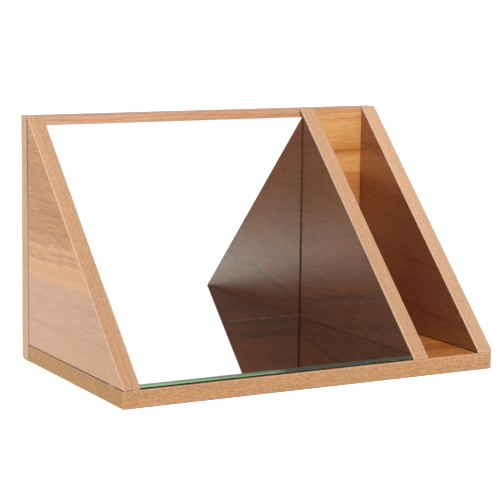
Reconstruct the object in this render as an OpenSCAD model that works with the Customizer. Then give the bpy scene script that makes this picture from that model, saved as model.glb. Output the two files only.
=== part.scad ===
// Open-fronted table mirror: a back board and a base board carry three
// triangular uprights. Two glass mirrors line the wide left bay, one standing
// and one lying, and the narrow right compartment stays plain board.
// X runs across the stand, -Y is the open front, Z is up, and the origin is
// the middle of the underside.

/* [Stand] */
// Overall width of the stand
width = 384; // [320:1:480]
// Overall depth, back board included
depth = 232; // [190:1:280]
// Overall height
height = 234; // [190:1:280]
// Thickness of every board
board_t = 16; // [15:0.5:19]
// Clear width of the narrow compartment on the right
slot_w = 57; // [40:1:80]
// Height of an upright's blunt front end
nose_h = 3; // [3:0.5:8]
// Glue line between boards that meet
joint_gap = 0.3; // [0.1:0.1:0.5]
// Rounding of the back board's lower rear edge
heel_r = 6; // [1:0.5:8]
// Chamfer along the lower and rear edges of an upright
arris = 0.4; // [0.2:0.1:0.8]

/* [Edge bands] */
// Thickness of the edge bands
band_t = 1.3; // [0.8:0.1:2]
// Rounding of a band's long outer edges
band_r = 1; // [0.4:0.1:2]

/* [Mirrors] */
// Thickness of the mirror glass
glass_t = 3; // [2:0.5:5]
// Thickness of the silver and its backing paint
coat_t = 0.1; // [0.1:0.05:0.3]
// Thickness of the hardboard sheet behind the standing mirror
backing_t = 4; // [2:0.5:6]
// How far the hardboard stays back from the glass's edges
backing_inset = 1; // [0.5:0.5:5]
// Thickness of the foam tape that holds a mirror
tape_t = 1.6; // [0.6:0.1:2]
// Width of one strip of foam tape
tape_w = 20; // [12:1:30]
// Strips of foam tape behind each mirror
tape_count = 4; // [2:1:5]
// How far the tape stays back from a mirror's edges
tape_inset = 12; // [5:1:25]
// Ground chamfer round a mirror's edges
glass_arris = 0.4; // [0.2:0.1:0.8]
// Space between a mirror and the left upright
mirror_gap_left = 0.3; // [0.2:0.1:2]
// Space between a mirror and the divider
mirror_gap_right = 1.7; // [0.3:0.1:3]
// Bare strip of back board above the standing mirror
mirror_top_strip = 8.5; // [3:0.5:20]
// How far the lying mirror stays behind the base's front
mirror_setback = 1; // [0.2:0.1:5]
// Space behind the lying mirror and under the standing one
mirror_joint = 0.3; // [0.1:0.1:1]

/* [Fasteners] */
// Diameter of a screw's thread
screw_d = 5; // [4:0.5:6]
// Length of a screw, head included
screw_l = 48; // [40:1:50]
// Diameter of a screw's countersunk head
head_d = 8.5; // [7:0.5:10]
// Height of a screw's countersunk head
head_h = 3; // [2:0.5:4]
// Distance between thread crests
thread_pitch = 3; // [2:0.5:4]
// Depth of the thread
thread_h = 0.7; // [0.3:0.1:1]
// Width across flats of the hexagon socket
drive_w = 3; // [2.5:0.5:4]
// Depth of the hexagon socket
drive_h = 2.2; // [1.5:0.1:3]
// Diameter of a screw cap
cap_d = 12; // [10:0.5:14]
// Thickness of a screw cap's disc
cap_t = 1.2; // [0.8:0.1:2]
// Length of the peg that holds a cap in the socket
cap_peg_l = 1.5; // [1:0.1:2]
// Diameter of a wooden dowel
dowel_d = 6; // [5:0.5:8]
// Length of a wooden dowel
dowel_l = 28; // [20:1:36]
// Depth of a dowel in the face that it stands in
dowel_seat = 10; // [7:1:12]
// Clearance round every screw, cap and dowel
fit_gap = 0.1; // [0.05:0.05:0.2]
// Front screw of an upright, from the front of the stand
base_screw_front = 62; // [55:1:75]
// Rear screw of an upright, from the upright's rear edge
base_screw_rear = 46; // [40:1:55]
// Lower rear screw of an upright, above the base
back_screw_low = 34; // [25:1:40]
// Upper rear screw of an upright, below the top
back_screw_high = 62; // [55:1:70]
// Outer dowels in the base's rear edge, from the stand's sides
edge_dowel_in = 60; // [40:1:80]
// Dowels in the base's rear edge
edge_dowel_count = 3; // [2:1:5]

/* [Hidden] */
$fn = 48;
left_x = -width / 2;
right_x = width / 2;
front_y = -depth / 2;
rear_y = depth / 2;
// Front face of the back board
back_y = rear_y - board_t;
// Rear edge of the base and of the uprights
edge_y = back_y - joint_gap;
// Foot of the uprights, a glue line above the base
foot_z = board_t + joint_gap;
round_r = min(band_r, band_t);

// Left faces of the three uprights
divider_x = right_x - 2 * board_t - slot_w;
upright_xs = [left_x, divider_x, right_x - board_t];

// The slanted front edge rises from the nose to the stand's full height
slant_angle = atan2(height - foot_z - nose_h, edge_y - front_y);
slant_l = (edge_y - front_y) / cos(slant_angle);
// Height that the band takes up on the slant, measured upright
band_drop = band_t / cos(slant_angle);
core_nose_z = foot_z + nose_h - band_drop;
core_top_z = height - band_drop;

// The standing mirror stands on the base and the lying one runs up to its glass
mirror_x0 = left_x + board_t + mirror_gap_left;
mirror_w = divider_x - mirror_gap_right - mirror_x0;
backing_y = back_y - tape_t - backing_t;
coat_y = backing_y - coat_t;
back_mirror_z0 = board_t + mirror_joint;
back_mirror_h = height - mirror_top_strip - back_mirror_z0;
coat_z = board_t + tape_t;
floor_glass_z = coat_z + coat_t;
floor_y0 = front_y + mirror_setback;
floor_l = coat_y - glass_t - mirror_joint - floor_y0;

// Fasteners
bore_d = screw_d + 2 * fit_gap;
tip_h = screw_d / 2;
shank_h = board_t - head_h;
thread_count = floor((screw_l - head_h - shank_h - tip_h) / thread_pitch);
core_r = screw_d / 2 - thread_h;
base_screw_ys = [front_y + base_screw_front, edge_y - base_screw_rear];
back_screw_zs = [board_t + back_screw_low, height - back_screw_high];
edge_dowel_pitch = (width - 2 * edge_dowel_in) / (edge_dowel_count - 1);
edge_dowel_xs = [for (i = [0:edge_dowel_count - 1]) left_x + edge_dowel_in + i * edge_dowel_pitch];
base_dowel_y = (base_screw_ys[0] + base_screw_ys[1]) / 2;
back_dowel_z = (back_screw_zs[0] + back_screw_zs[1]) / 2;
screw_face_y = rear_y - cap_t - fit_gap;
dowel_bevel = dowel_d / 8;
// Cutting tools run past a face by this much
over = 1;

face_color = [0.78, 0.55, 0.38];
dark_face_color = [0.5, 0.3, 0.2];
band_color = [0.84, 0.66, 0.5];

// Turns something drawn along +Z so that it runs forwards from the rear face
module from_rear() {
    rotate([90, 0, 0])
        children();
}

// Turns an outline drawn in Y and Z so that it has a thickness along +X
module across(w) {
    rotate([90, 0, 90])
        linear_extrude(w)
            children();
}

// Rectangle with its two upper corners rounded
module rounded_strip(w, h, r) {
    difference() {
        square([w, h]);
        for (x = [0, w - r])
            translate([x, h - r])
                square(r);
    }
    intersection() {
        square([w, h]);
        for (x = [r, w - r])
            translate([x, h - r])
                circle(r);
    }
}

// Edge band that lies on Z = 0, runs along +Y and has its outer side up
module band(l, w = board_t) {
    translate([0, l, 0])
        rotate([90, 0, 0])
            linear_extrude(l)
                rounded_strip(w, band_t, round_r);
}

// Side view of an upright below its band
module upright_outline() {
    polygon([[front_y, foot_z], [edge_y, foot_z], [edge_y, core_top_z], [front_y, core_nose_z]]);
}

// Rectangle with the two corners on its x axis chamfered
module eased_strip(w, h, c) {
    polygon([[c, 0], [w - c, 0], [w, c], [w, h], [0, h], [0, c]]);
}

// Plate with all its edges chamfered, lying on Z = 0
module chamfered_plate(w, l, t, c) {
    intersection() {
        across(w)
            chamfered_rectangle(l, t, c);
        translate([0, l, 0])
            rotate([90, 0, 0])
                linear_extrude(l)
                    chamfered_rectangle(w, t, c);
    }
}

module chamfered_rectangle(w, h, c) {
    polygon([
        [c, 0], [w - c, 0], [w, c], [w, h - c],
        [w - c, h], [c, h], [0, h - c], [0, c]
    ]);
}

// Screw with its head on Z = 0 and its tip up
module screw() {
    head_r = head_d / 2;
    shank_r = screw_d / 2;
    thread_z = head_h + shank_h;
    thread_end_z = thread_z + thread_count * thread_pitch;
    difference() {
        rotate_extrude()
            polygon(concat(
                [[0, 0], [head_r, 0], [shank_r, head_h], [shank_r, thread_z]],
                [for (i = [0:thread_count - 1], j = [0, 1]) [
                    j == 0 ? core_r : shank_r,
                    thread_z + (i + (j + 1) / 2) * thread_pitch
                ]],
                [[core_r, thread_end_z], [0, thread_end_z + tip_h]]
            ));
        translate([0, 0, -over])
            cylinder(h = drive_h + over, d = drive_w / cos(30), $fn = 6);
    }
}

// Hole for a screw: a countersink at Z = 0 and a bore that clears the tip
module screw_hole() {
    translate([0, 0, -over])
        cylinder(h = screw_l + over, d = bore_d);
    cylinder(h = head_h, d1 = head_d + 2 * fit_gap, d2 = bore_d);
    translate([0, 0, -over])
        cylinder(h = over, d = head_d + 2 * fit_gap);
}

// Dowel with both ends eased, standing on Z = 0
module dowel() {
    rotate_extrude()
        polygon([
            [0, 0], [dowel_d / 2 - dowel_bevel, 0], [dowel_d / 2, dowel_bevel],
            [dowel_d / 2, dowel_l - dowel_bevel], [dowel_d / 2 - dowel_bevel, dowel_l], [0, dowel_l]
        ]);
}

// Hole for a dowel, longer than the dowel at both ends
module dowel_hole() {
    translate([0, 0, -fit_gap])
        cylinder(h = dowel_l + 2 * fit_gap, d = dowel_d + 2 * fit_gap);
}

// Middle of each upright, along X
module at_uprights() {
    for (x = upright_xs)
        translate([x + board_t / 2, 0, 0])
            children();
}

// Places of the screws that come up through the base
module at_base_screws() {
    at_uprights()
        for (y = base_screw_ys)
            translate([0, y, 0])
                children();
}

// Places of the screws that come in through the back board
module at_rear_screws() {
    at_uprights()
        for (z = back_screw_zs)
            translate([0, 0, z])
                children();
}

module at_base_dowels() {
    at_uprights()
        translate([0, base_dowel_y, board_t - dowel_seat])
            children();
}

module at_rear_dowels() {
    at_uprights()
        translate([0, back_y + dowel_seat, back_dowel_z])
            children();
    for (x = edge_dowel_xs)
        translate([x, back_y + dowel_seat, board_t / 2])
            children();
}

// Every hole that fasteners need, cut out of whatever stands there
module fastener_holes() {
    at_base_screws()
        screw_hole();
    at_rear_screws()
        translate([0, screw_face_y, 0])
            from_rear()
                screw_hole();
    at_base_dowels()
        dowel_hole();
    at_rear_dowels()
        from_rear()
            dowel_hole();
}

module base_board() {
    color(face_color)
        difference() {
            translate([left_x + band_t, front_y + band_t, 0])
                cube([width - 2 * band_t, edge_y - front_y - band_t, board_t]);
            fastener_holes();
        }
}

module back_board() {
    core_w = width - 2 * band_t;
    color(face_color)
        difference() {
            translate([left_x + band_t, 0, 0])
                across(core_w)
                    back_outline(height - band_t);
            fastener_holes();
            at_rear_screws()
                translate([0, rear_y + over, 0])
                    from_rear()
                        cylinder(h = cap_t + fit_gap + over, d = cap_d + 2 * fit_gap);
        }
}

// Side view of the back board, with its lower rear edge rounded
module back_outline(top_z) {
    difference() {
        translate([back_y, 0])
            square([board_t, top_z]);
        translate([rear_y - heel_r, 0])
            square(heel_r);
    }
    translate([rear_y - heel_r, heel_r])
        circle(heel_r);
}

// Board with its lower and rear edges eased, bored for its fasteners
module upright(x, tint) {
    color(tint)
        difference() {
            intersection() {
                translate([x, 0, 0])
                    across(board_t)
                        upright_outline();
                translate([x, edge_y, foot_z])
                    rotate([90, 0, 0])
                        linear_extrude(edge_y - front_y)
                            eased_strip(board_t, height - foot_z, arris);
                translate([x + board_t, edge_y, foot_z])
                    rotate([0, 0, 180])
                        linear_extrude(height - foot_z)
                            eased_strip(board_t, edge_y - front_y, arris);
            }
            fastener_holes();
        }
}

module left_side_board() {
    upright(upright_xs[0], face_color);
}

module divider_board() {
    upright(upright_xs[1], dark_face_color);
}

module right_side_board() {
    upright(upright_xs[2], dark_face_color);
}

// Band on an upright's slanted front edge, its ends cut upright
module slanted_band(x) {
    color(band_color)
        intersection() {
            translate([x, front_y, core_nose_z])
                rotate([slant_angle, 0, 0])
                    translate([0, -board_t, 0])
                        band(slant_l + 2 * board_t);
            translate([x, front_y, 0])
                cube([board_t, edge_y - front_y, height]);
        }
}

module left_side_band() {
    slanted_band(upright_xs[0]);
}

module divider_band() {
    slanted_band(upright_xs[1]);
}

module right_side_band() {
    slanted_band(upright_xs[2]);
}

// The front band covers the ends of the side bands, its corners rounded
module base_front_band() {
    color(band_color)
        intersection() {
            translate([left_x, front_y + band_t, board_t])
                rotate([90, 90, 0])
                    band(width);
            translate([right_x, front_y + band_t, 0])
                rotate([0, 0, 180])
                    linear_extrude(board_t)
                        rounded_strip(width, band_t, round_r);
        }
}

module base_side_band() {
    band(edge_y - front_y - band_t);
}

module base_left_band() {
    color(band_color)
        translate([left_x + band_t, front_y + band_t, 0])
            rotate([0, -90, 0])
                base_side_band();
}

module base_right_band() {
    color(band_color)
        translate([right_x - band_t, front_y + band_t, board_t])
            rotate([0, 90, 0])
                base_side_band();
}

module back_top_band() {
    color(band_color)
        translate([left_x, rear_y, height - band_t])
            rotate([0, 0, -90])
                band(width);
}

// Band on an end of the back board, cut to the board's rounded heel
module back_side_band() {
    color(band_color)
        intersection() {
            children();
            translate([left_x, 0, 0])
                across(width)
                    back_outline(height - band_t);
        }
}

module back_left_band() {
    back_side_band()
        translate([left_x + band_t, rear_y, 0])
            rotate([90, 0, -90])
                band(height - band_t);
}

module back_right_band() {
    back_side_band()
        translate([right_x - band_t, back_y, 0])
            rotate([90, 0, 90])
                band(height - band_t);
}

module floor_mirror_glass() {
    color("lightgreen", 0.4)
        translate([mirror_x0, floor_y0, floor_glass_z])
            chamfered_plate(mirror_w, floor_l, glass_t, glass_arris);
}

// A coating covers the flat of a glass inside the glass's chamfer
module floor_mirror_silvering() {
    color("silver")
        translate([mirror_x0 + glass_arris, floor_y0 + glass_arris, coat_z])
            cube([mirror_w - 2 * glass_arris, floor_l - 2 * glass_arris, coat_t]);
}

// Strips of foam tape that share a mirror's width evenly, running along +Y
module tape_strips(l) {
    pitch = (mirror_w - 2 * tape_inset - tape_w) / (tape_count - 1);
    for (i = [0:tape_count - 1])
        translate([mirror_x0 + tape_inset + i * pitch, tape_inset, 0])
            cube([tape_w, l - 2 * tape_inset, tape_t]);
}

module floor_mirror_tape() {
    color("dimgray")
        translate([0, floor_y0, board_t])
            tape_strips(floor_l);
}

module back_mirror_glass() {
    color("lightgreen", 0.4)
        translate([mirror_x0, coat_y, back_mirror_z0])
            rotate([90, 0, 0])
                chamfered_plate(mirror_w, back_mirror_h, glass_t, glass_arris);
}

module back_mirror_silvering() {
    color("silver")
        translate([mirror_x0 + glass_arris, coat_y, back_mirror_z0 + glass_arris])
            cube([mirror_w - 2 * glass_arris, coat_t, back_mirror_h - 2 * glass_arris]);
}

module back_mirror_backing() {
    color("sienna")
        translate([mirror_x0 + backing_inset, backing_y, back_mirror_z0 + backing_inset])
            cube([mirror_w - 2 * backing_inset, backing_t, back_mirror_h - 2 * backing_inset]);
}

module back_mirror_tape() {
    color("dimgray")
        translate([0, back_y, back_mirror_z0])
            rotate([90, 0, 0])
                tape_strips(back_mirror_h);
}

module base_screws() {
    color("silver")
        at_base_screws()
            screw();
}

module rear_screws() {
    color("silver")
        at_rear_screws()
            translate([0, screw_face_y, 0])
                from_rear()
                    screw();
}

// Flush disc with a peg that pushes into the screw's socket
module rear_screw_caps() {
    color("sienna")
        at_rear_screws()
            translate([0, rear_y, 0])
                from_rear() {
                    cylinder(h = cap_t, d = cap_d);
                    cylinder(h = cap_t + fit_gap + cap_peg_l, d = drive_w - 2 * fit_gap);
                }
}

module base_dowels() {
    color("burlywood")
        at_base_dowels()
            dowel();
}

module rear_dowels() {
    color("burlywood")
        at_rear_dowels()
            from_rear()
                dowel();
}

base_board();
back_board();
left_side_board();
divider_board();
right_side_board();
base_front_band();
base_left_band();
base_right_band();
left_side_band();
divider_band();
right_side_band();
back_top_band();
back_left_band();
back_right_band();
floor_mirror_glass();
floor_mirror_silvering();
floor_mirror_tape();
back_mirror_glass();
back_mirror_silvering();
back_mirror_backing();
back_mirror_tape();
base_screws();
rear_screws();
rear_screw_caps();
base_dowels();
rear_dowels();
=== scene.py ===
import math

import bmesh
import bpy
from mathutils import Matrix, Vector


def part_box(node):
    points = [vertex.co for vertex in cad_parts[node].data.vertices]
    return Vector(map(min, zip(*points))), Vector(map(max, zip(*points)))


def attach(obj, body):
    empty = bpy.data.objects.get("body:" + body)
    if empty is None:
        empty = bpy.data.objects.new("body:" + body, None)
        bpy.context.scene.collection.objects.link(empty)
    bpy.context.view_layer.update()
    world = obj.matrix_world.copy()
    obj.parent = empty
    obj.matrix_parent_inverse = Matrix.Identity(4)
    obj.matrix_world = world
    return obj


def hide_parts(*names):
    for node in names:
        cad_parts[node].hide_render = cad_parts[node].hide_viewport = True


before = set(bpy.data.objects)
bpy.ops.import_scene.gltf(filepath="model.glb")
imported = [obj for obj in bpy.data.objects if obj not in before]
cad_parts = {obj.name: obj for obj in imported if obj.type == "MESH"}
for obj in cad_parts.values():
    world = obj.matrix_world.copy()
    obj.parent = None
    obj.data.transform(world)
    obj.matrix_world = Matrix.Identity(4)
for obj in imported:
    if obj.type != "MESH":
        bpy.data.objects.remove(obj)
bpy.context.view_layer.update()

mm = 0.001
print("frame loaded with", len(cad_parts), "pieces")

# The camera stands to the front left, a little above the stand
cameraSetup = {
    "place": (-0.82153, -1.48776, 0.37158),
    "turnRight": 28.6854,
    "tiltDown": 8.7653,
    "roll": 0.7402,
    "focalPixels": 1815.85,
    "photoPixels": 500,
    "sensor": 36.0,
    "seesTo": 100.0,
}


def makeCamera(setup):
    data = bpy.data.cameras.new("photoCamera")
    data.sensor_width = setup["sensor"]
    data.lens = setup["focalPixels"] / setup["photoPixels"] * setup["sensor"]
    data.clip_end = setup["seesTo"]
    camera = bpy.data.objects.new("photoCamera", data)
    bpy.context.scene.collection.objects.link(camera)
    turn = Matrix.Rotation(math.radians(-setup["turnRight"]), 4, "Z")
    tilt = Matrix.Rotation(math.radians(90 - setup["tiltDown"]), 4, "X")
    roll = Matrix.Rotation(math.radians(setup["roll"]), 4, "Z")
    camera.matrix_world = Matrix.Translation(setup["place"]) @ turn @ tilt @ roll
    bpy.context.scene.camera = camera


makeCamera(cameraSetup)
bpy.context.scene.view_settings.view_transform = "Standard"
print("camera placed")


# Node helpers: a number or colour is typed into a socket, an output is linked to it
def plug(tree, socket, value):
    if isinstance(value, bpy.types.NodeSocket):
        tree.links.new(value, socket)
    else:
        socket.default_value = value


def maths(tree, operation, first, second=0.0, third=0.0):
    node = tree.nodes.new("ShaderNodeMath")
    node.operation = operation
    for socket, value in zip(node.inputs, (first, second, third)):
        plug(tree, socket, value)
    return node.outputs[0]


def ease(tree, value, start, end, low=0.0, high=1.0):  # smooth step from low to high
    node = tree.nodes.new("ShaderNodeMapRange")
    node.interpolation_type = "SMOOTHSTEP"
    plug(tree, node.inputs["Value"], value)
    node.inputs["From Min"].default_value = start
    node.inputs["From Max"].default_value = end
    node.inputs["To Min"].default_value = low
    node.inputs["To Max"].default_value = high
    return node.outputs[0]


def blendColour(tree, amount, first, second, mode="MIX"):
    node = tree.nodes.new("ShaderNodeMix")
    node.data_type = "RGBA"
    node.blend_type = mode
    plug(tree, node.inputs["Factor"], amount)
    plug(tree, node.inputs["A"], opaque(first))
    plug(tree, node.inputs["B"], opaque(second))
    return node.outputs["Result"]


def opaque(colour):
    return (*colour, 1.0) if isinstance(colour, tuple) and len(colour) == 3 else colour


def shadedBy(tree, colour, red, green, blue):  # each channel multiplied by its own shade
    return blendColour(tree, 1.0, colour, joined(tree, red, green, blue), "MULTIPLY")


def reachAlong(tree, vector, direction):  # how far a vector reaches in a direction
    node = tree.nodes.new("ShaderNodeVectorMath")
    node.operation = "DOT_PRODUCT"
    plug(tree, node.inputs[0], vector)
    node.inputs[1].default_value = direction
    return node.outputs["Value"]


def shifted(start, span):
    return [start + edge for edge in span]


def noise(tree, vector, detail=2.0, roughness=0.5):
    node = tree.nodes.new("ShaderNodeTexNoise")
    plug(tree, node.inputs["Vector"], vector)
    node.inputs["Scale"].default_value = 1.0
    node.inputs["Detail"].default_value = detail
    node.inputs["Roughness"].default_value = roughness
    return node.outputs[0]


seedShift = (1.0, 1.7, 2.3)  # a seed moves a pattern by this much of itself along each axis


def stretched(tree, vector, sizes, seed=0.0):  # pattern units of so many millimetres along each axis
    node = tree.nodes.new("ShaderNodeMapping")
    plug(tree, node.inputs["Vector"], vector)
    node.inputs["Scale"].default_value = [1.0 / (size * mm) for size in sizes]
    node.inputs["Location"].default_value = [seed * part for part in seedShift]
    return node.outputs[0]


def joined(tree, x, y, z):
    node = tree.nodes.new("ShaderNodeCombineXYZ")
    for socket, value in zip(node.inputs, (x, y, z)):
        plug(tree, socket, value)
    return node.outputs[0]


def millimetres(tree):  # the piece's own coordinates, along X, Y and Z
    place = tree.nodes.new("ShaderNodeTexCoord").outputs["Object"]
    apart = tree.nodes.new("ShaderNodeSeparateXYZ")
    plug(tree, apart.inputs[0], place)
    return place, [maths(tree, "MULTIPLY", axis, 1.0 / mm) for axis in apart.outputs]


def bumped(tree, shader, height, depth, strength=1.0):
    node = tree.nodes.new("ShaderNodeBump")
    node.inputs["Strength"].default_value = strength
    node.inputs["Distance"].default_value = depth * mm
    plug(tree, node.inputs["Height"], height)
    plug(tree, shader.inputs["Normal"], node.outputs[0])


def newFinish(name, roughness=0.5, metallic=0.0, ior=1.5):
    material = bpy.data.materials.new(name)
    material.use_nodes = True
    tree = material.node_tree
    shader = next(node for node in tree.nodes if node.type == "BSDF_PRINCIPLED")
    shader.inputs["Roughness"].default_value = roughness
    shader.inputs["Metallic"].default_value = metallic
    shader.inputs["IOR"].default_value = ior
    return material, tree, shader


def dress(name, material):
    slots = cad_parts[name].data.materials
    slots.clear()
    slots.append(material)


# Studio: white to the eye and in the mirrors, dim on one side in soft gloss, plain light on the stand
white = (1.0, 1.0, 1.0)
studio = {
    "ambient": (0.30, 0.30, 0.30),
    "dimSide": (0.10, 0.10, 0.11),
    "inMirrors": (1.15, 1.15, 1.15),    # makes up for what the panes lose
    "dimTowards": (-0.50, -0.84, 0.20),
    "dimFrom": 0.55,
    "dimTo": 0.80,
    "horizon": 0.02,
    "mirrorTurns": 2,    # turns in the mirrors that still show it sharply
}
lamps = {
    "leftLamp": {"travels": (1.0, -0.13, 0.0), "strength": 2.5, "spread": 12.0},
    "frontLamp": {"travels": (0.06, 0.866, -0.5), "strength": 2.8, "spread": 16.0},
}
floorLook = {
    "reach": 8.0,
    "below": 0.0003,
    "roughness": 0.9,
    "mirrorTurns": 1,
    "nearColour": (0.80, 0.80, 0.80),
    "farColour": (0.12, 0.12, 0.12),
    "fadeTowards": (-0.48, -0.876, 0.0),
    "fadeFrom": 0.30,
    "fadeTo": 0.88,
    "softLift": 1.44,
    "softTint": (1.0, 0.99, 0.88),    # the floor's colour in the boards' soft gloss
    "dullTowards": (0.33, -0.94, 0.0),
    "dullBand": (0.02, 0.10, 0.19, 0.29),    # dull in soft gloss between the middle two, in metres
}


def seenPaths(tree, mirrorTurns):  # what the lens sees of the studio, sharply or in the boards' soft gloss
    path = tree.nodes.new("ShaderNodeLightPath")
    shiny = maths(tree, "MAXIMUM", path.outputs["Is Glossy Ray"], path.outputs["Is Transmission Ray"])
    unlit = maths(tree, "LESS_THAN", path.outputs["Diffuse Depth"], 0.5)
    seen = maths(tree, "MAXIMUM", path.outputs["Is Camera Ray"], maths(tree, "MULTIPLY", shiny, unlit))
    fewTurns = maths(tree, "LESS_THAN", path.outputs["Glossy Depth"], mirrorTurns + 0.5)
    sharp = maths(tree, "MULTIPLY", path.outputs["Is Singular Ray"], fewTurns)
    sharp = maths(tree, "MAXIMUM", path.outputs["Is Camera Ray"], maths(tree, "MULTIPLY", sharp, unlit))
    return seen, sharp


def makeStudio(look):
    world = bpy.data.worlds.new("studio")
    bpy.context.scene.world = world
    world.use_nodes = True
    tree = world.node_tree
    background = next(node for node in tree.nodes if node.type == "BACKGROUND")
    seen, sharp = seenPaths(tree, look["mirrorTurns"])
    direction = tree.nodes.new("ShaderNodeTexCoord").outputs["Generated"]
    towards = reachAlong(tree, direction, Vector(look["dimTowards"]).normalized())
    dim = ease(tree, towards, look["dimFrom"], look["dimTo"])
    height = tree.nodes.new("ShaderNodeSeparateXYZ")
    plug(tree, height.inputs[0], direction)
    dim = maths(tree, "MULTIPLY", dim, ease(tree, height.outputs["Z"], 0.0, look["horizon"]))
    dim = maths(tree, "MULTIPLY", dim, maths(tree, "SUBTRACT", 1.0, sharp))
    shown = blendColour(tree, sharp, white, look["inMirrors"])
    shown = blendColour(tree, dim, shown, look["dimSide"])
    camera = tree.nodes.new("ShaderNodeLightPath").outputs["Is Camera Ray"]
    shown = blendColour(tree, camera, shown, white)
    plug(tree, background.inputs["Color"], blendColour(tree, seen, look["ambient"], shown))


def makeLamp(name, look):
    data = bpy.data.lights.new(name, "SUN")
    data.energy = look["strength"]
    data.angle = math.radians(look["spread"])
    lamp = bpy.data.objects.new(name, data)
    bpy.context.scene.collection.objects.link(lamp)
    lamp.rotation_euler = Vector(look["travels"]).to_track_quat("-Z", "Y").to_euler()
    lamp.visible_glossy = False
    lamp.visible_transmission = False


def makeFloor(look):
    shape = bmesh.new()
    bmesh.ops.create_grid(shape, x_segments=1, y_segments=1, size=look["reach"])
    bmesh.ops.translate(shape, verts=shape.verts, vec=(0.0, 0.0, -look["below"]))
    mesh = bpy.data.meshes.new("studioFloor")
    shape.to_mesh(mesh)
    shape.free()
    floor = bpy.data.objects.new("studioFloor", mesh)
    bpy.context.scene.collection.objects.link(floor)
    material, tree, shader = newFinish("palePaper", roughness=look["roughness"])
    place = tree.nodes.new("ShaderNodeTexCoord").outputs["Object"]
    far = ease(tree, reachAlong(tree, place, look["fadeTowards"]), look["fadeFrom"], look["fadeTo"])
    plug(tree, shader.inputs["Base Color"], blendColour(tree, far, look["nearColour"], look["farColour"]))
    shader.inputs["Specular IOR Level"].default_value = 0.0
    seen, sharp = seenPaths(tree, look["mirrorTurns"])
    plug(tree, shader.inputs["Emission Color"], blendColour(tree, sharp, look["softTint"], white))
    close = reachAlong(tree, place, look["dullTowards"])
    dull = look["dullBand"]
    rise = maths(
        tree, "MAXIMUM",
        ease(tree, close, dull[0], dull[1], look["softLift"], 0.0),
        ease(tree, close, dull[2], dull[3], 0.0, look["softLift"]),
    )
    softLift = maths(tree, "MULTIPLY", maths(tree, "SUBTRACT", 1.0, far), rise)
    lift = maths(tree, "MULTIPLY_ADD", sharp, maths(tree, "SUBTRACT", 1.0, softLift), softLift)
    plug(tree, shader.inputs["Emission Strength"], maths(tree, "MULTIPLY", seen, lift))
    mesh.materials.append(material)


makeStudio(studio)
for lampName, lampLook in lamps.items():
    makeLamp(lampName, lampLook)
makeFloor(floorLook)
print("studio lit")

# Wood-look laminate on the boards' faces
woodTones = {
    "honey": (0.54, 0.235, 0.078),
    "hazel": (0.462, 0.182, 0.040),
    "gold": (0.655, 0.325, 0.102),
    "sun": (0.70, 0.365, 0.122),
    "flame": (0.55, 0.207, 0.052),
    "smoulder": (0.48, 0.175, 0.046),
    "blaze": (0.58, 0.240, 0.062),
    "coal": (0.44, 0.140, 0.032),
    "clay": (0.40, 0.168, 0.078),
    "claret": (0.415, 0.165, 0.075),
    "copper": (0.64, 0.310, 0.132),
    "cedar": (0.56, 0.232, 0.104),
    "shade": (0.16, 0.085, 0.045),
    "umber": (0.46, 0.142, 0.052),
    "dusk": (0.40, 0.140, 0.065),
    "ember": (0.55, 0.155, 0.042),
    "sienna": (0.68, 0.215, 0.060),
    "russet": (0.46, 0.125, 0.022),
    "syrup": (0.62, 0.235, 0.045),
    "rust": (0.36, 0.100, 0.020),
    "red": (0.48, 0.175, 0.068),
    "orange": (0.68, 0.320, 0.110),
    "wheat": (0.61, 0.312, 0.112),
    "amber": (0.64, 0.285, 0.072),
    "pale": (0.66, 0.340, 0.140),
    "pink": (0.66, 0.360, 0.200),
    "rose": (0.76, 0.460, 0.300),
    "grey": (0.555, 0.309, 0.176),
    "brown": (0.42, 0.165, 0.050),
    "streak": (0.26, 0.100, 0.045),
    # dark joint lines, and painted shade in the open joints and in the gaps beside the panes
    "seamAndShade": (0.07, 0.028, 0.014),
    "nose": (0.52, 0.300, 0.170),
}
# A size is along the grain, across it and, with a third number, through the board. An ease has where it
# starts and ends and, with two more numbers, the strength at each
laminateLook = {
    "roughness": 0.24,
    "slowWave": ((160.0, 70.0, 40.0), 5.0),    # size, and how far the grain bends
    "quickWave": ((16.0, 9.0, 40.0), 1.5),
    "bandSize": (400.0, 11.0),
    "bandSeed": 5.0,
    "bandEase": (0.40, 0.65, 0.0, 0.25),
    "lineSize": (90.0, 1.9),
    "darkLineEase": (0.50, 0.66, 0.0, 0.50),
    "paleLineEase": (0.36, 0.48, 0.30, 0.0),
    "fadeSize": (70.0, 12.0),
    "fadeEase": (0.30, 0.60, 0.4, 1.0),
    "sideStrength": 0.9,
    "fibreSize": (16.0, 1.3, 5.0),
    "fibreEase": (0.28, 0.72),
    "fibreDark": 0.16,
    "fibreLight": 0.14,
    "poreSize": (5.0, 1.1, 5.0),
    "poreSeed": 3.0,
    "poreEase": (0.58, 0.70),
    "poreDark": 0.30,
    "calmEdge": (-6.0, 6.0),
    "calmLines": 0.3,
    "calmGrain": 0.35,
    "underShade": 0.9,
    "relief": 0.06,
    "reliefStrength": 0.6,
}
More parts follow.
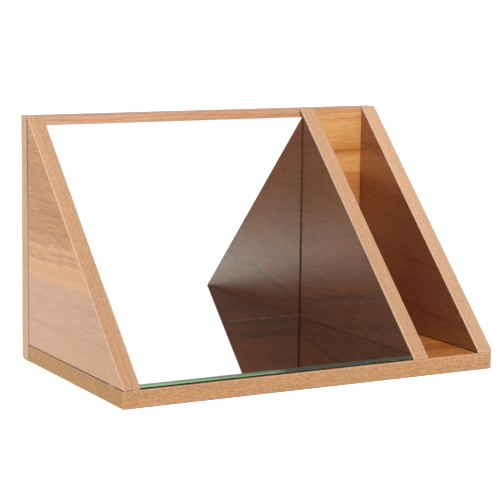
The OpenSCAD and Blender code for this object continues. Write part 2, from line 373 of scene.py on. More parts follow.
# Tones stand at millimetres up the board, streaks too, with half their width and their strength, and a side
# tone is full at one place along the grain and gone at another
boardLooks = {
    "left_side_board": {
        "grain": "YZX", "seed": 4.0, "tilt": 0.02, "slanted": True, "contrast": 0.60, "gloss": 0.15,
        "fine": 1.3, "calmBelow": 104.0, "rearSeam": 2.6, "footLine": 0.95, "noseHoles": 0.50,
        "tones": [
            (0, "grey"), (84, "grey"), (90, "pale"), (96, "wheat"), (104, "pale"), (107, "honey"),
            (110, "pale"), (113, "honey"), (117, "pale"), (122, "honey"), (135, "hazel"), (212, "hazel"),
            (222, "honey"), (234, "honey"),
        ],
        "streaks": [
            (46, 4, 0.15), (70, 5, 0.18), (133, 1.6, 0.55), (150, 1.6, 0.55), (161, 2.5, 0.4),
            (182, 2, 0.3),
        ],
    },
    "divider_board": {
        "grain": "YZX", "seed": 11.0, "tilt": 0.21, "slanted": True, "contrast": 0.15,
        "gloss": 1.0, "roughness": 0.26, "fine": 1.1, "noseHoles": 0.60, "besideMirrors": True,
        "relief": 0.085,
        "tones": [
            (0, "umber"), (46, "umber"), (60, "ember"), (80, "ember"), (110, "sienna"), (234, "sienna"),
        ],
        "sideTones": [("dusk", -90.0, 20.0)],
        "streaks": [(56, 6, 0.85), (28, 4, 0.4), (120, 4, 0.2), (217, 5, 0.6)],
    },
    "right_side_board": {
        "grain": "YZX", "seed": 19.0, "tilt": -0.10, "slanted": True, "contrast": 0.22,
        "gloss": 0.60, "fine": 0.85, "noseHoles": 0.60, "footLine": 0.5,
        "tones": [
            (0, "clay"), (60, "clay"), (80, "claret"), (145, "claret"), (151, "cedar"), (163, "copper"),
            (176, "copper"), (185, "cedar"), (234, "cedar"),
        ],
        "streaks": [(90, 2, 0.7), (152, 6, 0.40), (190, 2.5, 0.65), (45, 5, 0.40)],
    },
    "back_board": {
        "grain": "XZY", "seed": 27.0, "tilt": 0.0, "slanted": False, "contrast": 0.38, "gloss": 0.50,
        "fine": 0.7, "streakTone": "rust", "rearTone": "honey", "rearEase": (107.0, 108.0),
        "tones": [
            (0, "honey"), (60, "red"), (110, "honey"), (143, "smoulder"), (153, "smoulder"), (158, "flame"),
            (163, "flame"), (168, "gold"), (175, "gold"), (180, "sun"), (184, "gold"), (188, "blaze"),
            (190.5, "coal"), (193, "blaze"), (198, "amber"), (203, "gold"), (210, "gold"), (215, "sun"),
            (221, "orange"), (228, "pale"), (234, "orange"),
        ],
        "streaks": [
            (150, 2, 0.4), (157, 1.6, 0.4), (165, 1.4, 0.4), (178, 1.2, 0.15), (191, 1.3, 0.8),
            (204, 1.2, 0.2), (222, 1.2, 0.3), (229, 1.5, 0.4),
        ],
        "sideTones": [("pink", 104.0, 122.0), ("rose", -170.0, 60.0)],
    },
    # the base board gets painted shade under the lying mirror
    "base_board": {
        "grain": "XYZ", "seed": 35.0, "tilt": 0.0, "shift": 120.0, "slanted": False, "contrast": 0.6,
        "gloss": 0.12, "roughness": 0.5, "fine": 0.6, "shadedUnder": (101.5, 102.5), "streakTone": "rust",
        "tones": [
            (0, "syrup"), (20, "syrup"), (45, "russet"), (65, "syrup"), (110, "russet"), (234, "russet"),
        ],
        "streaks": [
            (13, 3, 0.8), (22, 2.5, 1.0), (33, 3, 0.8), (44, 4, 1.0), (58, 4, 0.8), (75, 4, 0.8),
            (150, 4, 0.5),
        ],
    },
}
toneReach = 260.0  # millimetres that the tone ramps cover
setBack = 2.7      # millimetres the standing pane's face is set back, where the lens sees its silver
noseHeight = 3.0   # millimetres, the blunt front end of each upright

uprightBox = [Vector(corner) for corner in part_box("left_side_board")]
slantAngle = math.atan2(
    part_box("left_side_band")[1].z - uprightBox[0].z - noseHeight * mm,
    uprightBox[1].y - uprightBox[0].y,
)


def grainParts(axes, order):  # the coordinate along the grain, across it and through the board
    return [axes["XYZ".index(letter)] for letter in order]


def grainSizes(order, size):
    sizes = dict(zip(order, size))
    return [sizes[letter] for letter in "XYZ"]


def wavedAcross(tree, place, board, across, look):  # the coordinate across the grain, bent by two waves
    bent = across
    for size, bend in (look["slowWave"], look["quickWave"]):
        wave = stretched(tree, place, grainSizes(board["grain"], size), board["seed"])
        swing = maths(tree, "SUBTRACT", noise(tree, wave, detail=1.0), 0.5)
        bent = maths(tree, "MULTIPLY_ADD", swing, 2.0 * bend, bent)
    return bent


def heightRamp(tree, height, stops):  # colour at heights up the board
    node = tree.nodes.new("ShaderNodeValToRGB")
    node.color_ramp.interpolation = "EASE"
    plug(tree, node.inputs[0], maths(tree, "DIVIDE", height, toneReach))
    ends = node.color_ramp.elements
    for end, (place, colour) in zip(ends, (stops[0], stops[-1])):
        end.position = place / toneReach
        end.color = opaque(colour)
    for place, colour in stops[1:-1]:
        ends.new(place / toneReach).color = opaque(colour)
    return node.outputs["Color"]


def streakRamp(tree, height, streaks):  # 1 on the dark growth streaks
    black = (0.0, 0.0, 0.0)
    stops = [(0.0, black)]
    for place, half, strength in sorted(streaks):
        stops += [(place - half, black), (place, (strength,) * 3), (place + half, black)]
    return heightRamp(tree, height, stops + [(toneReach, black)])


def boardTones(tree, board, look, along, bent, through):  # the broad tones under the grain
    colour = heightRamp(tree, bent, [(height, woodTones[tone]) for height, tone in board["tones"]])
    for tone, full, none in board.get("sideTones", []):
        side = ease(tree, along, full, none, look["sideStrength"], 0.0)
        colour = blendColour(tree, side, colour, woodTones[tone])
    if "rearTone" in board:  # the front's own tones end inside the board
        rear = ease(tree, through, *board["rearEase"])
        colour = blendColour(tree, rear, colour, woodTones[board["rearTone"]])
    return colour


def grainNoise(tree, along, bent, size, seed, detail=1.0, roughness=0.5):
    alongUnits = maths(tree, "DIVIDE", along, size[0])
    acrossUnits = maths(tree, "DIVIDE", bent, size[1])
    return noise(tree, joined(tree, alongUnits, acrossUnits, seed), detail, roughness)


def growthLines(tree, board, look, along, bent, colour, contrast):  # bands, fine lines and streaks
    seed = board["seed"]
    dark = woodTones[board.get("streakTone", "streak")]
    bands = grainNoise(tree, along, bent, look["bandSize"], seed + look["bandSeed"])
    bands = maths(tree, "MULTIPLY", ease(tree, bands, *look["bandEase"]), contrast)
    colour = blendColour(tree, bands, colour, woodTones["brown"])
    lines = grainNoise(tree, along, bent, look["lineSize"], seed, detail=2.0, roughness=0.55)
    darker = maths(tree, "MULTIPLY", ease(tree, lines, *look["darkLineEase"]), contrast)
    lighter = maths(tree, "MULTIPLY", ease(tree, lines, *look["paleLineEase"]), contrast)
    colour = blendColour(tree, darker, colour, dark)
    colour = blendColour(tree, lighter, colour, woodTones["pale"])
    fade = ease(tree, grainNoise(tree, along, bent, look["fadeSize"], seed), *look["fadeEase"])
    streaks = maths(tree, "MULTIPLY", streakRamp(tree, bent, board["streaks"]), fade)
    return blendColour(tree, streaks, colour, dark)


def fineGrain(tree, place, board, look, colour):  # short fibres and dark pores, and the relief they leave
    fine = board["fine"]
    sizes = grainSizes(board["grain"], look["fibreSize"])
    fibres = noise(tree, stretched(tree, place, sizes, board["seed"]), detail=3.0)
    darkest = 1.0 - look["fibreDark"] * fine
    lightest = 1.0 + look["fibreLight"] * fine
    shade = ease(tree, fibres, *look["fibreEase"], darkest, lightest)
    colour = shadedBy(tree, colour, shade, shade, shade)
    sizes = grainSizes(board["grain"], look["poreSize"])
    pores = noise(tree, stretched(tree, place, sizes, board["seed"] + look["poreSeed"]), detail=1.0)
    pores = ease(tree, pores, *look["poreEase"])
    dark = woodTones[board.get("streakTone", "streak")]
    colour = blendColour(tree, maths(tree, "MULTIPLY", pores, look["poreDark"] * fine), colour, dark)
    return colour, maths(tree, "SUBTRACT", fibres, pores)


def laminate(name, board, look):
    material, tree, shader = newFinish(name, roughness=board.get("roughness", look["roughness"]))
    shader.inputs["Specular IOR Level"].default_value = board["gloss"]
    place, axes = millimetres(tree)
    along, across, through = grainParts(axes, board["grain"])
    leaned = maths(tree, "MULTIPLY_ADD", along, board["tilt"], across)
    if "shift" in board:  # a lying board's tones start near its front edge
        leaned = maths(tree, "ADD", leaned, board["shift"])
    bent = wavedAcross(tree, place, board, leaned, look)
    contrast = board["contrast"]
    if "calmBelow" in board:  # the grain is fainter on the lower part
        calm = shifted(board["calmBelow"], look["calmEdge"])
        contrast = ease(tree, bent, *calm, contrast * look["calmLines"], contrast)
    tones = boardTones(tree, board, look, along, bent, through)
    smooth = growthLines(tree, board, look, along, bent, tones, contrast)
    colour, height = fineGrain(tree, place, board, look, smooth)
    if "calmBelow" in board:
        colour = blendColour(tree, ease(tree, bent, *calm, look["calmGrain"], 1.0), smooth, colour)
    if board["slanted"]:
        colour = slantSeams(tree, axes, colour, board, seamLook)
    # painted shade on the divider in the gaps beside the panes
    if "besideMirrors" in board:
        colour = mirrorGapShade(tree, axes, colour, seamLook)
    if "shadedUnder" in board:  # painted shade under the lying mirror
        under = ease(tree, axes[0], *board["shadedUnder"], look["underShade"], 0.0)
        colour = blendColour(tree, under, colour, woodTones["shade"])
    plug(tree, shader.inputs["Base Color"], colour)
    bumped(tree, shader, height, board.get("relief", look["relief"]), look["reliefStrength"])
    return material


# Dark lines where the uprights meet their bands, the back board, the base and the mirrors, with painted
# shade in the open joints and gaps
seamLook = {
    "bandEase": (0.45, 0.90, 0.12, 0.0),
    "rearSeam": 0.8,
    "rearFull": 0.6,
    "rearStrength": 0.85,
    "closing": (140.0, 200.0, 1.0, 0.3),
    "footAlong": (-20.0, 95.0),
    "footFaded": 0.3,
    "footEdge": (0.7, 1.2),
    "noseEdge": (0.1, 0.4),
    "dashLength": 1.7,
    "dashEdge": (0.0, 0.06),
    "dashHeight": (0.6, 1.0),
    "dashStrength": 0.9,
    # where the divider is painted with shade in the gaps beside the panes
    "shownEdge": (0.2, 0.4),
    "paneEdge": (-0.1, 0.1),
    "paneEase": (40.0, 190.0, 0.85, 0.0),
    "paneFootEdge": (0.2, 0.7),
    "paneFoot": 0.2,
}


def slantSeams(tree, axes, colour, board, look):  # dark lines under the band, and painted shade in the open joint behind and along the foot
    low = uprightBox[0] / mm
    high = uprightBox[1] / mm
    rear = board.get("rearSeam", look["rearSeam"])
    down = maths(tree, "MULTIPLY", maths(tree, "SUBTRACT", high.z, axes[2]), math.cos(slantAngle))
    inward = maths(tree, "SUBTRACT", axes[1], high.y)
    inward = maths(tree, "MULTIPLY_ADD", inward, math.sin(slantAngle), down)
    under = ease(tree, inward, *look["bandEase"])
    # painted shade on the face beside the open joint with the back board
    full = high.y - rear * look["rearFull"]
    behind = ease(tree, axes[1], high.y - rear, full, 0.0, look["rearStrength"])
    if "rearSeam" in board:  # an open joint closes towards the top
        behind = maths(tree, "MULTIPLY", behind, ease(tree, axes[2], *look["closing"]))
    seamAndShade = maths(tree, "MAXIMUM", under, behind)
    # painted shade along the foot, where the board meets the base
    if "footLine" in board:
        foot = board["footLine"]
        strength = ease(tree, axes[1], *look["footAlong"], foot, foot * look["footFaded"])
        edge = ease(tree, axes[2], *shifted(low.z, look["footEdge"]), 1.0, 0.0)
        seamAndShade = maths(tree, "MAXIMUM", seamAndShade, maths(tree, "MULTIPLY", strength, edge))
    colour = blendColour(tree, seamAndShade, colour, woodTones["seamAndShade"])
    return noseGaps(tree, axes, colour, board, look)


def noseGaps(tree, axes, colour, board, look):  # the blunt nose in front, with small gaps under it
    low = uprightBox[0] / mm
    nose = ease(tree, axes[1], *shifted(low.y, look["noseEdge"]), 1.0, 0.0)
    colour = blendColour(tree, nose, colour, woodTones["nose"])
    dashes = joined(tree, maths(tree, "DIVIDE", axes[0], look["dashLength"]), board["seed"], 0.0)
    dashes = ease(tree, noise(tree, dashes, detail=1.0), *shifted(board["noseHoles"], look["dashEdge"]))
    gap = ease(tree, axes[2], *shifted(low.z, look["dashHeight"]), look["dashStrength"], 0.0)
    gap = maths(tree, "MULTIPLY", nose, gap)
    return blendColour(tree, maths(tree, "MULTIPLY", gap, dashes), colour, woodTones["seamAndShade"])


def mirrorGapShade(tree, axes, colour, look):  # painted shade in the gaps where the divider meets the two panes
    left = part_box("divider_board")[0].x / mm
    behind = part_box("back_mirror_glass")[0].y / mm + setBack
    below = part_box("floor_mirror_glass")[1].z / mm
    shown = ease(tree, axes[0], *shifted(left, look["shownEdge"]), 1.0, 0.0)
    rear = ease(tree, axes[1], *shifted(behind, look["paneEdge"]))
    rear = maths(tree, "MULTIPLY", rear, ease(tree, axes[2], *look["paneEase"]))
    foot = ease(tree, axes[2], *shifted(below, look["paneFootEdge"]), look["paneFoot"], 0.0)
    gap = maths(tree, "MULTIPLY", maths(tree, "MAXIMUM", rear, foot), shown)
    return blendColour(tree, gap, colour, woodTones["seamAndShade"])


for boardName, boardLook in boardLooks.items():
    dress(boardName, laminate(boardName + "_laminate", boardLook, laminateLook))
print("boards laminated")

# Edge bands: fine short fibres along the band, paler where the arrises are worn
bandLook = {
    "roughness": 0.42,
    "gloss": 0.4,
    "rounding": 0.7,
    "halfWidth": 8.0,
    "streakSize": (160.0, 3.0),
    "streakEase": (0.35, 0.65),
    "patchSize": (6.0, 3.0),
    "slantPatchSize": (12.0, 2.2),
    "patches": 0.22,
    "honey": (0.50, 0.270, 0.090),
    "honeyEase": (0.42, 0.62),
    "blush": (0.60, 0.330, 0.200),
    "blushEase": (0.32, 0.46),
    "fibreSize": (4.0, 1.3),
    "fibreEase": (0.30, 0.70),
    "speckle": 0.15,
    "speckSize": (2.6, 1.3),
    "specks": 0.35,
    "fleck": (0.36, 0.17, 0.075),
    "fleckEase": (0.57, 0.70),
    "worn": (0.78, 0.54, 0.37),
    "wornEase": (0.30, 0.42),
    "relief": 0.05,
    "reliefStrength": 0.5,
    "splitEdge": (0.2, 0.6),
    "splitEnd": (2.6, 3.4, 1.0, 0.3),
    "splitStrength": 0.45,
    "splitLine": 0.5,
    "splitLineEdge": (0.3, 0.9),
    "wornEdge": (-1.3, -0.3),
    "wornStrength": 0.8,
    # painted shade on the base bands' lower rim
    "lowerRimShade": (0.20, 0.155, 0.125),
    "lowerRimShadeEdge": (1.3, 0.3),
    "lowerRimShadeStrength": 0.8,
    "slantHeights": (20.0, 215.0),
    "slantFoot": (0.96, 0.935, 0.90),
    "slantTop": 1.07,
    # painted highlight on the shaded sides and arrises of the slanted bands
    "arrisHighlight": (0.86, 0.62, 0.46),
    "arrisEdge": (-1.0, -0.6),
    "rearLineEdge": (-2.0, -1.2),
    "rearLine": 0.85,
    "jointEdge": (1.1, 2.0),
    "jointHeights": (125.0, 185.0),
    "joint": 0.8,
    "weldWithin": 0.001,
    "touching": 0.01,
    "belowTop": 0.05,
}
bandTones = {
    "pinkish": ((0.50, 0.285, 0.165), (0.56, 0.315, 0.180)),
    "tan": ((0.44, 0.232, 0.108), (0.48, 0.252, 0.116)),
    "yellowish": ((0.365, 0.172, 0.033), (0.405, 0.190, 0.041)),
    "rosy": ((0.56, 0.340, 0.215), (0.61, 0.370, 0.235)),
    "strip": ((0.49, 0.262, 0.178), (0.55, 0.302, 0.207)),
    "pale": ((0.48, 0.287, 0.152), (0.52, 0.312, 0.172)),
}
# arris is how strongly a slanted band's sides get the painted highlight
bandPlaces = {
    "left_side_band": {"along": "slant", "across": "X", "seed": 2.0, "tone": "pinkish", "split": 0.9,
                       "worn": 0.3, "splitLine": 0.35, "arris": 0.12},
    "divider_band": {"along": "slant", "across": "X", "seed": 5.0, "tone": "pinkish", "arris": 0.65},
    "right_side_band": {"along": "slant", "across": "X", "seed": 8.0, "tone": "rosy", "arris": 0.6},
    "base_front_band": {"along": "X", "across": "Z", "seed": 12.0, "tone": "tan", "worn": 0.35,
                        "speckle": 0.25, "specks": 0.55},
    "base_left_band": {"along": "Y", "across": "Z", "seed": 15.0, "tone": "yellowish", "worn": 0.3,
                       "gloss": 0.15, "patches": 0.45, "rearJoint": True},
    "base_right_band": {"along": "Y", "across": "Z", "seed": 18.0, "tone": "yellowish"},
    "back_top_band": {"along": "X", "across": "Y", "seed": 22.0, "tone": "strip", "worn": 0.0},
    "back_left_band": {"along": "Z", "across": "Y", "seed": 25.0, "tone": "pale", "split": 1.5,
                       "worn": 0.4, "openJoint": True},
    "back_right_band": {"along": "Z", "across": "Y", "seed": 28.0, "tone": "pale", "split": 1.5,
                        "worn": 0.4},
}


def turnedToSlant(tree, place):  # Y then runs up the slanted edge
    node = tree.nodes.new("ShaderNodeMapping")
    plug(tree, node.inputs["Vector"], place)
    node.inputs["Rotation"].default_value = (-slantAngle, 0.0, 0.0)
    return node.outputs[0]


def splitTone(tree, across, where, look, colour):  # a paler strip beside a fine dark line
    split = where["split"]
    strip = ease(tree, across, *shifted(split, look["splitEdge"]), 0.0, look["splitStrength"])
    start, end, near, far = look["splitEnd"]
    strip = maths(tree, "MULTIPLY", strip, ease(tree, across, split + start, split + end, near, far))
    colour = blendColour(tree, strip, colour, bandTones["pale"][1])
    away = maths(tree, "ABSOLUTE", maths(tree, "SUBTRACT", across, split))
    line = ease(tree, away, *look["splitLineEdge"], where.get("splitLine", look["splitLine"]), 0.0)
    return blendColour(tree, line, colour, look["fleck"])


def bandRims(tree, axes, across, where, look, colour):  # worn rims, the shade up a slanted band and a painted highlight on its sides
    half = look["halfWidth"]
    aside = maths(tree, "ABSOLUTE", across)
    rim = ease(tree, aside, *shifted(half, look["wornEdge"]))
    rim = maths(tree, "MULTIPLY", rim, where.get("worn", look["wornStrength"]))
    colour = blendColour(tree, rim, colour, look["worn"])
    if where["across"] == "Z":  # painted shade on the lower rim, where the base meets the floor
        lower = ease(tree, across, *shifted(-half, look["lowerRimShadeEdge"]), 0.0, look["lowerRimShadeStrength"])
        colour = blendColour(tree, lower, colour, look["lowerRimShade"])
    if where["along"] == "slant":
        heights = look["slantHeights"]
        shades = [ease(tree, axes[2], *heights, foot, look["slantTop"]) for foot in look["slantFoot"]]
        colour = shadedBy(tree, colour, *shades)
        # painted highlight on the band's shaded sides and arrises
        side = ease(tree, aside, *shifted(half, look["arrisEdge"]), 0.0, where["arris"])
        colour = blendColour(tree, side, colour, look["arrisHighlight"])
    return colour


def bandJoints(tree, axes, across, rearEnd, where, look, colour):  # dark lines at open joints
    if "rearJoint" in where:  # the open joint with the back board runs on down the base
        line = ease(tree, axes[1], *shifted(rearEnd, look["rearLineEdge"]), 0.0, look["rearLine"])
        colour = blendColour(tree, line, colour, woodTones["seamAndShade"])
    if "openJoint" in where:  # the joint with the side board opens towards the top
        joint = ease(tree, across, *shifted(-look["halfWidth"], look["jointEdge"]), look["joint"], 0.0)
        joint = maths(tree, "MULTIPLY", joint, ease(tree, axes[2], *look["jointHeights"]))
        colour = blendColour(tree, joint, colour, woodTones["seamAndShade"])
    return colour


def edgeBand(name, where, look):
    material, tree, shader = newFinish(name + "_finish", roughness=look["roughness"])
    shader.inputs["Specular IOR Level"].default_value = where.get("gloss", look["gloss"])
    place, axes = millimetres(tree)
    low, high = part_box(name)
    middle = (low + high) / 2
    acrossIndex = "XYZ".index(where["across"])
    across = maths(tree, "SUBTRACT", axes[acrossIndex], middle[acrossIndex] / mm)
    slanted = where["along"] == "slant"
    if slanted:
        place = turnedToSlant(tree, place)
    alongIndex = 1 if slanted else "XYZ".index(where["along"])

    def drawnOut(size, seed, **settings):  # noise of one size along the band and another across it
        sizes = [size[1]] * 3
        sizes[alongIndex] = size[0]
        return noise(tree, stretched(tree, place, sizes, where["seed"] + seed), **settings)

    streaks = drawnOut(look["streakSize"], 0.0, detail=2.0)
    colour = blendColour(tree, ease(tree, streaks, *look["streakEase"]), *bandTones[where["tone"]])
    if "split" in where:
        colour = splitTone(tree, across, where, look, colour)
    patches = drawnOut(look["slantPatchSize"] if slanted else look["patchSize"], 2.0, detail=3.0)
    strength = where.get("patches", look["patches"])
    honey = ease(tree, patches, *look["honeyEase"], 0.0, strength)
    colour = blendColour(tree, honey, colour, look["honey"])
    blush = ease(tree, patches, *look["blushEase"], strength, 0.0)
    colour = blendColour(tree, blush, colour, look["blush"])
    fibres = drawnOut(look["fibreSize"], 0.0, detail=4.0, roughness=0.7)
    speckle = where.get("speckle", look["speckle"])
    shade = ease(tree, fibres, *look["fibreEase"], 1.0 - speckle, 1.0 + speckle)
    colour = shadedBy(tree, colour, shade, shade, shade)
    specks = drawnOut(look["speckSize"], 4.0, detail=3.0, roughness=0.6)
    strength = where.get("specks", look["specks"])
    flecks = ease(tree, specks, *look["fleckEase"], 0.0, strength)
    colour = blendColour(tree, flecks, colour, look["fleck"])
    worn = ease(tree, specks, *look["wornEase"], strength, 0.0)
    colour = blendColour(tree, worn, colour, look["worn"])
    colour = bandRims(tree, axes, across, where, look, colour)
    colour = bandJoints(tree, axes, across, high.y / mm, where, look, colour)
    plug(tree, shader.inputs["Base Color"], colour)
    bumped(tree, shader, fibres, look["relief"], look["reliefStrength"])
    return material


def finishPiece(shape, name, materials, replaced):
    mesh = bpy.data.meshes.new(name)
    shape.to_mesh(mesh)
    shape.free()
    for material in materials:
        mesh.materials.append(material)
    piece = bpy.data.objects.new(name, mesh)
    bpy.context.scene.collection.objects.link(piece)
    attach(piece, "root")
    if replaced:
        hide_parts(replaced)
    return piece


def easedBand(name, material, look):  # the slanted band with its two long arrises rounded over
    shape = bmesh.new()
    shape.from_mesh(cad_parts[name].data)
    bmesh.ops.remove_doubles(shape, verts=shape.verts, dist=look["weldWithin"] * mm)
    low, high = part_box(name)
    outward = Vector((0.0, -math.sin(slantAngle), math.cos(slantAngle)))
    furthest = max(vert.co.dot(outward) for vert in shape.verts)
    touching = look["touching"] * mm

    def onArris(vert):
        atSide = min(abs(vert.co.x - low.x), abs(vert.co.x - high.x)) < touching
        return atSide and furthest - vert.co.dot(outward) < look["belowTop"] * mm

    def isArris(edge):
        first, second = edge.verts
        return onArris(first) and onArris(second) and abs(first.co.x - second.co.x) < touching

    arrises = [edge for edge in shape.edges if isArris(edge)]
    print(name, "arris edges", len(arrises))
    bmesh.ops.bevel(shape, geom=arrises, offset=look["rounding"] * mm, offset_type="OFFSET", segments=2,
                    profile=0.5, affect="EDGES", material=-1)
    finishPiece(shape, name.replace("_band", "_edge"), [material], name)


for bandName, bandPlace in bandPlaces.items():
    bandFinish = edgeBand(bandName, bandPlace, bandLook)
    if bandPlace["along"] == "slant":
        easedBand(bandName, bandFinish, bandLook)
    else:
        dress(bandName, bandFinish)
print("edges banded")

# Mirrors: clear panes with green edges over a silver coat
mirrorLook = {
    "glassIor": 1.52,
    "arris": 0.35,
    "edgeRoughness": 0.3,
    "edgeGloss": 0.3,
    # the edge's greens are painted light: bright where light gathers, deep where the divider reflects
    "lightGreen": (0.27, 0.44, 0.25),
    "midGreen": (0.19, 0.32, 0.20),
    "topGreen": (0.13, 0.22, 0.15),
    "midFrom": (0.30, 0.55),    # shares of the glass's thickness
    "topFrom": (0.65, 0.85),
    "fadedGreen": 0.62,    # how bright the green still is where it turns deep
    "deepGreen": (0.035, 0.045, 0.028),
    "dullGreen": (0.055, 0.068, 0.045),
    "dullEase": (0.45, 0.70),
    "wispSize": (14.0, 3.0, 0.5),
    "wispLift": 0.9,
    "wispReach": 16.0,
    "greenUntil": -46.0,
    "deepFrom": -28.0,
    "silver": white,
    "coatLap": {"floor_mirror_silvering": 2.8, "back_mirror_silvering": 0.15},
    "coatLeft": 0.5,
    "coatRight": 0.15,
    "coatFront": 0.3,
    "leftLap": 0.05,
    "rightGap": 1.0,
    "rearGap": 0.005,
    "touching": 0.01,
    "facing": 0.3,    # how far a face has to turn to a side to count as facing it
}


def boxShape(low, high):
    shape = bmesh.new()
    bmesh.ops.create_cube(shape, size=1.0)
    bmesh.ops.scale(shape, verts=shape.verts, vec=high - low)
    bmesh.ops.translate(shape, verts=shape.verts, vec=(low + high) / 2)
    return shape


def clearGlass(look):
    material, _, shader = newFinish("clear_glass", roughness=0.0, ior=look["glassIor"])
    shader.inputs["Transmission Weight"].default_value = 1.0
    shader.inputs["Base Color"].default_value = opaque(white)
    return material


def greenEdge(look, low, high):  # painted light: bright greens where light gathers in the edge, deep greens for the divider's dark reflection
    material, tree, shader = newFinish("green_glass_edge", look["edgeRoughness"], ior=look["glassIor"])
    shader.inputs["Specular IOR Level"].default_value = look["edgeGloss"]
    place, axes = millimetres(tree)
    height = maths(tree, "SUBTRACT", axes[2], low.z / mm)
    thick = (high.z - low.z) / mm
    wisps = noise(tree, stretched(tree, place, look["wispSize"], 2.0), detail=2.0)
    lifted = maths(tree, "SUBTRACT", height, look["wispLift"] / 2)
    lifted = maths(tree, "MULTIPLY_ADD", wisps, look["wispLift"], lifted)
    middle = ease(tree, lifted, *[thick * share for share in look["midFrom"]])
    top = ease(tree, lifted, *[thick * share for share in look["topFrom"]])
    bright = blendColour(tree, middle, look["lightGreen"], look["midGreen"])
    bright = blendColour(tree, top, bright, look["topGreen"])
    faded = ease(tree, axes[0], low.x / mm, look["greenUntil"], 1.0, look["fadedGreen"])
    bright = shadedBy(tree, bright, faded, faded, faded)
    dull = blendColour(tree, ease(tree, wisps, *look["dullEase"]), look["deepGreen"], look["dullGreen"])
    right = maths(tree, "SUBTRACT", axes[0], look["wispReach"] / 2)
    right = maths(tree, "MULTIPLY_ADD", wisps, look["wispReach"], right)
    right = ease(tree, right, look["greenUntil"], look["deepFrom"])
    plug(tree, shader.inputs["Base Color"], blendColour(tree, right, bright, dull))
    return material


def paneBox(name):  # each pane meets the left board, and the lying pane the standing one
    low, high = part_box(name)
    low.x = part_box("left_side_board")[1].x - mirrorLook["leftLap"] * mm
    high.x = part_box("divider_board")[0].x - mirrorLook["rightGap"] * mm
    if name == "back_mirror_glass":
        low.y += setBack * mm
    if name == "floor_mirror_glass":
        high.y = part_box("back_mirror_glass")[0].y + (setBack - mirrorLook["rearGap"]) * mm
    return low, high


def groundArris(shape, low, high, look):  # the lying pane's upper front arris is ground off
    touching = look["touching"] * mm

    def onArris(vert):
        return abs(vert.co.y - low.y) < touching and abs(vert.co.z - high.z) < touching

    arris = [edge for edge in shape.edges if all(onArris(vert) for vert in edge.verts)]
    bmesh.ops.bevel(shape, geom=arris, offset=look["arris"] * mm, offset_type="OFFSET", segments=2,
                    profile=0.5, affect="EDGES", material=-1)


def pane(name, greenSide, look, clear):
    low, high = paneBox(name)
    shape = boxShape(low, high)
    if name == "floor_mirror_glass":
        groundArris(shape, low, high, look)
    for face in shape.faces:
        if face.normal.dot(greenSide) > look["facing"]:
            face.material_index = 1
    green = greenEdge(look, low, high)
    finishPiece(shape, name.replace("_glass", "_pane"), [clear, green], name)


def silverCoat(name, paneName, towards, look):
    low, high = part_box(name)
    paneLow, paneHigh = paneBox(paneName)
    paneLow.x += look["coatLeft"] * mm
    paneHigh.x -= look["coatRight"] * mm
    paneLow.y += look["coatFront"] * mm
    for index in range(3):
        if abs(towards[index]) < look["facing"]:  # the coat reaches almost to the pane's own edges
            low[index] = paneLow[index]
            high[index] = paneHigh[index]
    shape = boxShape(low, high)
    middle = (low + high) / 2
    front = [vert for vert in shape.verts if (vert.co - middle).dot(towards) > 0]
    bmesh.ops.translate(shape, verts=front, vec=towards * look["coatLap"][name] * mm)  # laps into the glass
    material, _, shader = newFinish(name + "_silver", roughness=0.0, metallic=1.0)
    shader.inputs["Base Color"].default_value = opaque(look["silver"])
    finishPiece(shape, name.replace("_silvering", "_silver"), [material], name)


upwards = Vector((0.0, 0.0, 1.0))
forwards = Vector((0.0, -1.0, 0.0))
clearPane = clearGlass(mirrorLook)
pane("floor_mirror_glass", forwards, mirrorLook, clearPane)
pane("back_mirror_glass", -upwards, mirrorLook, clearPane)
silverCoat("floor_mirror_silvering", "floor_mirror_glass", upwards, mirrorLook)
silverCoat("back_mirror_silvering", "back_mirror_glass", forwards, mirrorLook)
print("mirrors silvered")

# Crumbs of dried glue at the left board's foot, and a thread of it just above where the panes meet, with a
# painted highlight on its top
glueLook = {
    "colour": (0.56, 0.42, 0.30),
    "crumbRoughness": 0.6,
    "crumbDepth": 0.35,
    "crumbs": [    # place along and up the left board, length and height
        (-88.6, 16.5, 1.5, 0.8), (-92.2, 16.2, 1.3, 0.9), (-96.8, 17.0, 0.9, 1.2),
    ],
    "threadHighlightAndShade": [(0.48, 0.38, 0.33), (0.28, 0.10, 0.07)],    # its top with a painted highlight, the rest of it with painted shade
    "threadRoughness": 0.7,
    "threadGloss": 0.1,
    "threadHeight": 1.9,
    "threadTall": 0.04,
    "threadStep": 0.05,
    "threadClear": 0.02,
    "threads": [    # from and to along the joint, and how deep
        (20.0, 102.5, 0.15), (22.0, 40.0, 0.35), (58.0, 64.0, 0.9), (80.0, 88.0, 0.8), (94.0, 102.5, 0.4),
    ],
}


def glueCrumbs(look):
    shape = bmesh.new()
    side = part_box("left_side_board")[0].x
    for y, z, long, tall in look["crumbs"]:
        made = bmesh.ops.create_icosphere(shape, subdivisions=2, radius=mm)["verts"]
        bmesh.ops.scale(shape, verts=made, vec=(look["crumbDepth"], long, tall))
        bmesh.ops.translate(shape, verts=made, vec=(side, y * mm, z * mm))
    material, _, shader = newFinish("dried_glue", look["crumbRoughness"])
    shader.inputs["Base Color"].default_value = opaque(look["colour"])
    finishPiece(shape, "glue_crumbs", [material], None)


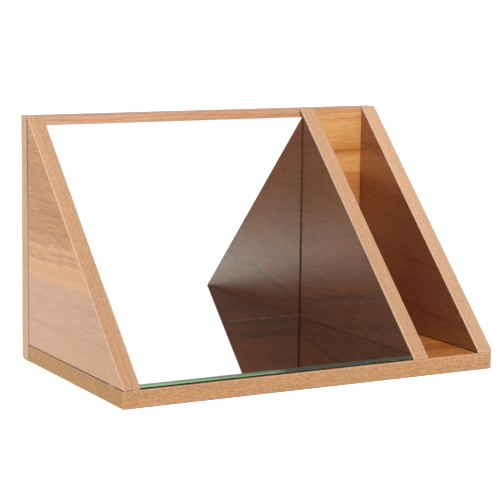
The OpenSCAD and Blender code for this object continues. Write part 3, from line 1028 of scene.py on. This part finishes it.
def glueThread(look):
    shape = bmesh.new()
    front = paneBox("back_mirror_glass")[0].y - look["threadClear"] * mm
    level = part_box("floor_mirror_glass")[1].z + look["threadHeight"] * mm
    for start, end, deep in look["threads"]:
        low = Vector((start * mm, front - deep * mm, level))
        high = Vector((end * mm, front, level + look["threadTall"] * mm))
        made = bmesh.ops.create_cube(shape, size=1.0)["verts"]
        bmesh.ops.scale(shape, verts=made, vec=high - low)
        bmesh.ops.translate(shape, verts=made, vec=(low + high) / 2)
        level += look["threadStep"] * mm
    finishes = []
    # a painted highlight on the thread's top, painted shade on the rest
    for side, colour in zip(("Top", "Under"), look["threadHighlightAndShade"]):
        material, _, shader = newFinish("glue_thread" + side, look["threadRoughness"])
        shader.inputs["Base Color"].default_value = opaque(colour)
        shader.inputs["Specular IOR Level"].default_value = look["threadGloss"]
        finishes.append(material)
    for face in shape.faces:
        face.material_index = 0 if face.normal.z > 0.5 else 1
    finishPiece(shape, "mirror_glue_thread", finishes, None)


glueCrumbs(glueLook)
glueThread(glueLook)
print("glue laid")

# Tape, backing, caps and dowels, each mottled in two colours, and zinc-plated screws
blackTape = ((0.10, 0.10, 0.10), (0.16, 0.16, 0.16))
brownSheet = ((0.17, 0.085, 0.04), (0.26, 0.14, 0.07))
woodCaps = ((0.50, 0.25, 0.11), (0.44, 0.21, 0.09))
paleBeech = ((0.62, 0.42, 0.22), (0.52, 0.33, 0.16))
smallLooks = {
    "back_mirror_backing": {"colours": brownSheet, "size": 2.0, "roughness": 0.75},
    "floor_mirror_tape": {"colours": blackTape, "size": 0.8, "roughness": 0.9},
    "back_mirror_tape": {"colours": blackTape, "size": 0.8, "roughness": 0.9},
    "rear_screw_caps": {"colours": woodCaps, "size": 3.0, "roughness": 0.45},
    "base_dowels": {"colours": paleBeech, "size": 1.5, "roughness": 0.7},
    "rear_dowels": {"colours": paleBeech, "size": 1.5, "roughness": 0.7},
}
mottleEase = (0.3, 0.7)
mottleRelief = (0.08, 0.5)
zincLook = {
    "colours": ((0.62, 0.62, 0.60), (0.74, 0.74, 0.71)),
    "size": 2.5,
    "roughness": 0.32,
    "roughnessEase": (0.3, 0.7, 0.25, 0.42),
}


def mottled(name, look):
    material, tree, shader = newFinish(name + "_finish", roughness=look["roughness"])
    place = millimetres(tree)[0]
    grains = noise(tree, stretched(tree, place, [look["size"]] * 3), detail=4.0, roughness=0.6)
    colour = blendColour(tree, ease(tree, grains, *mottleEase), *look["colours"])
    plug(tree, shader.inputs["Base Color"], colour)
    bumped(tree, shader, grains, *mottleRelief)
    return material


def zincPlate(name, look):
    material, tree, shader = newFinish(name + "_zinc", look["roughness"], metallic=1.0)
    place = millimetres(tree)[0]
    flow = noise(tree, stretched(tree, place, [look["size"]] * 3), detail=3.0)
    plug(tree, shader.inputs["Base Color"], blendColour(tree, flow, *look["colours"]))
    plug(tree, shader.inputs["Roughness"], ease(tree, flow, *look["roughnessEase"]))
    return material


for smallName, smallLook in smallLooks.items():
    dress(smallName, mottled(smallName, smallLook))
for screwName in ("base_screws", "rear_screws"):
    dress(screwName, zincPlate(screwName, zincLook))
print("small pieces finished")
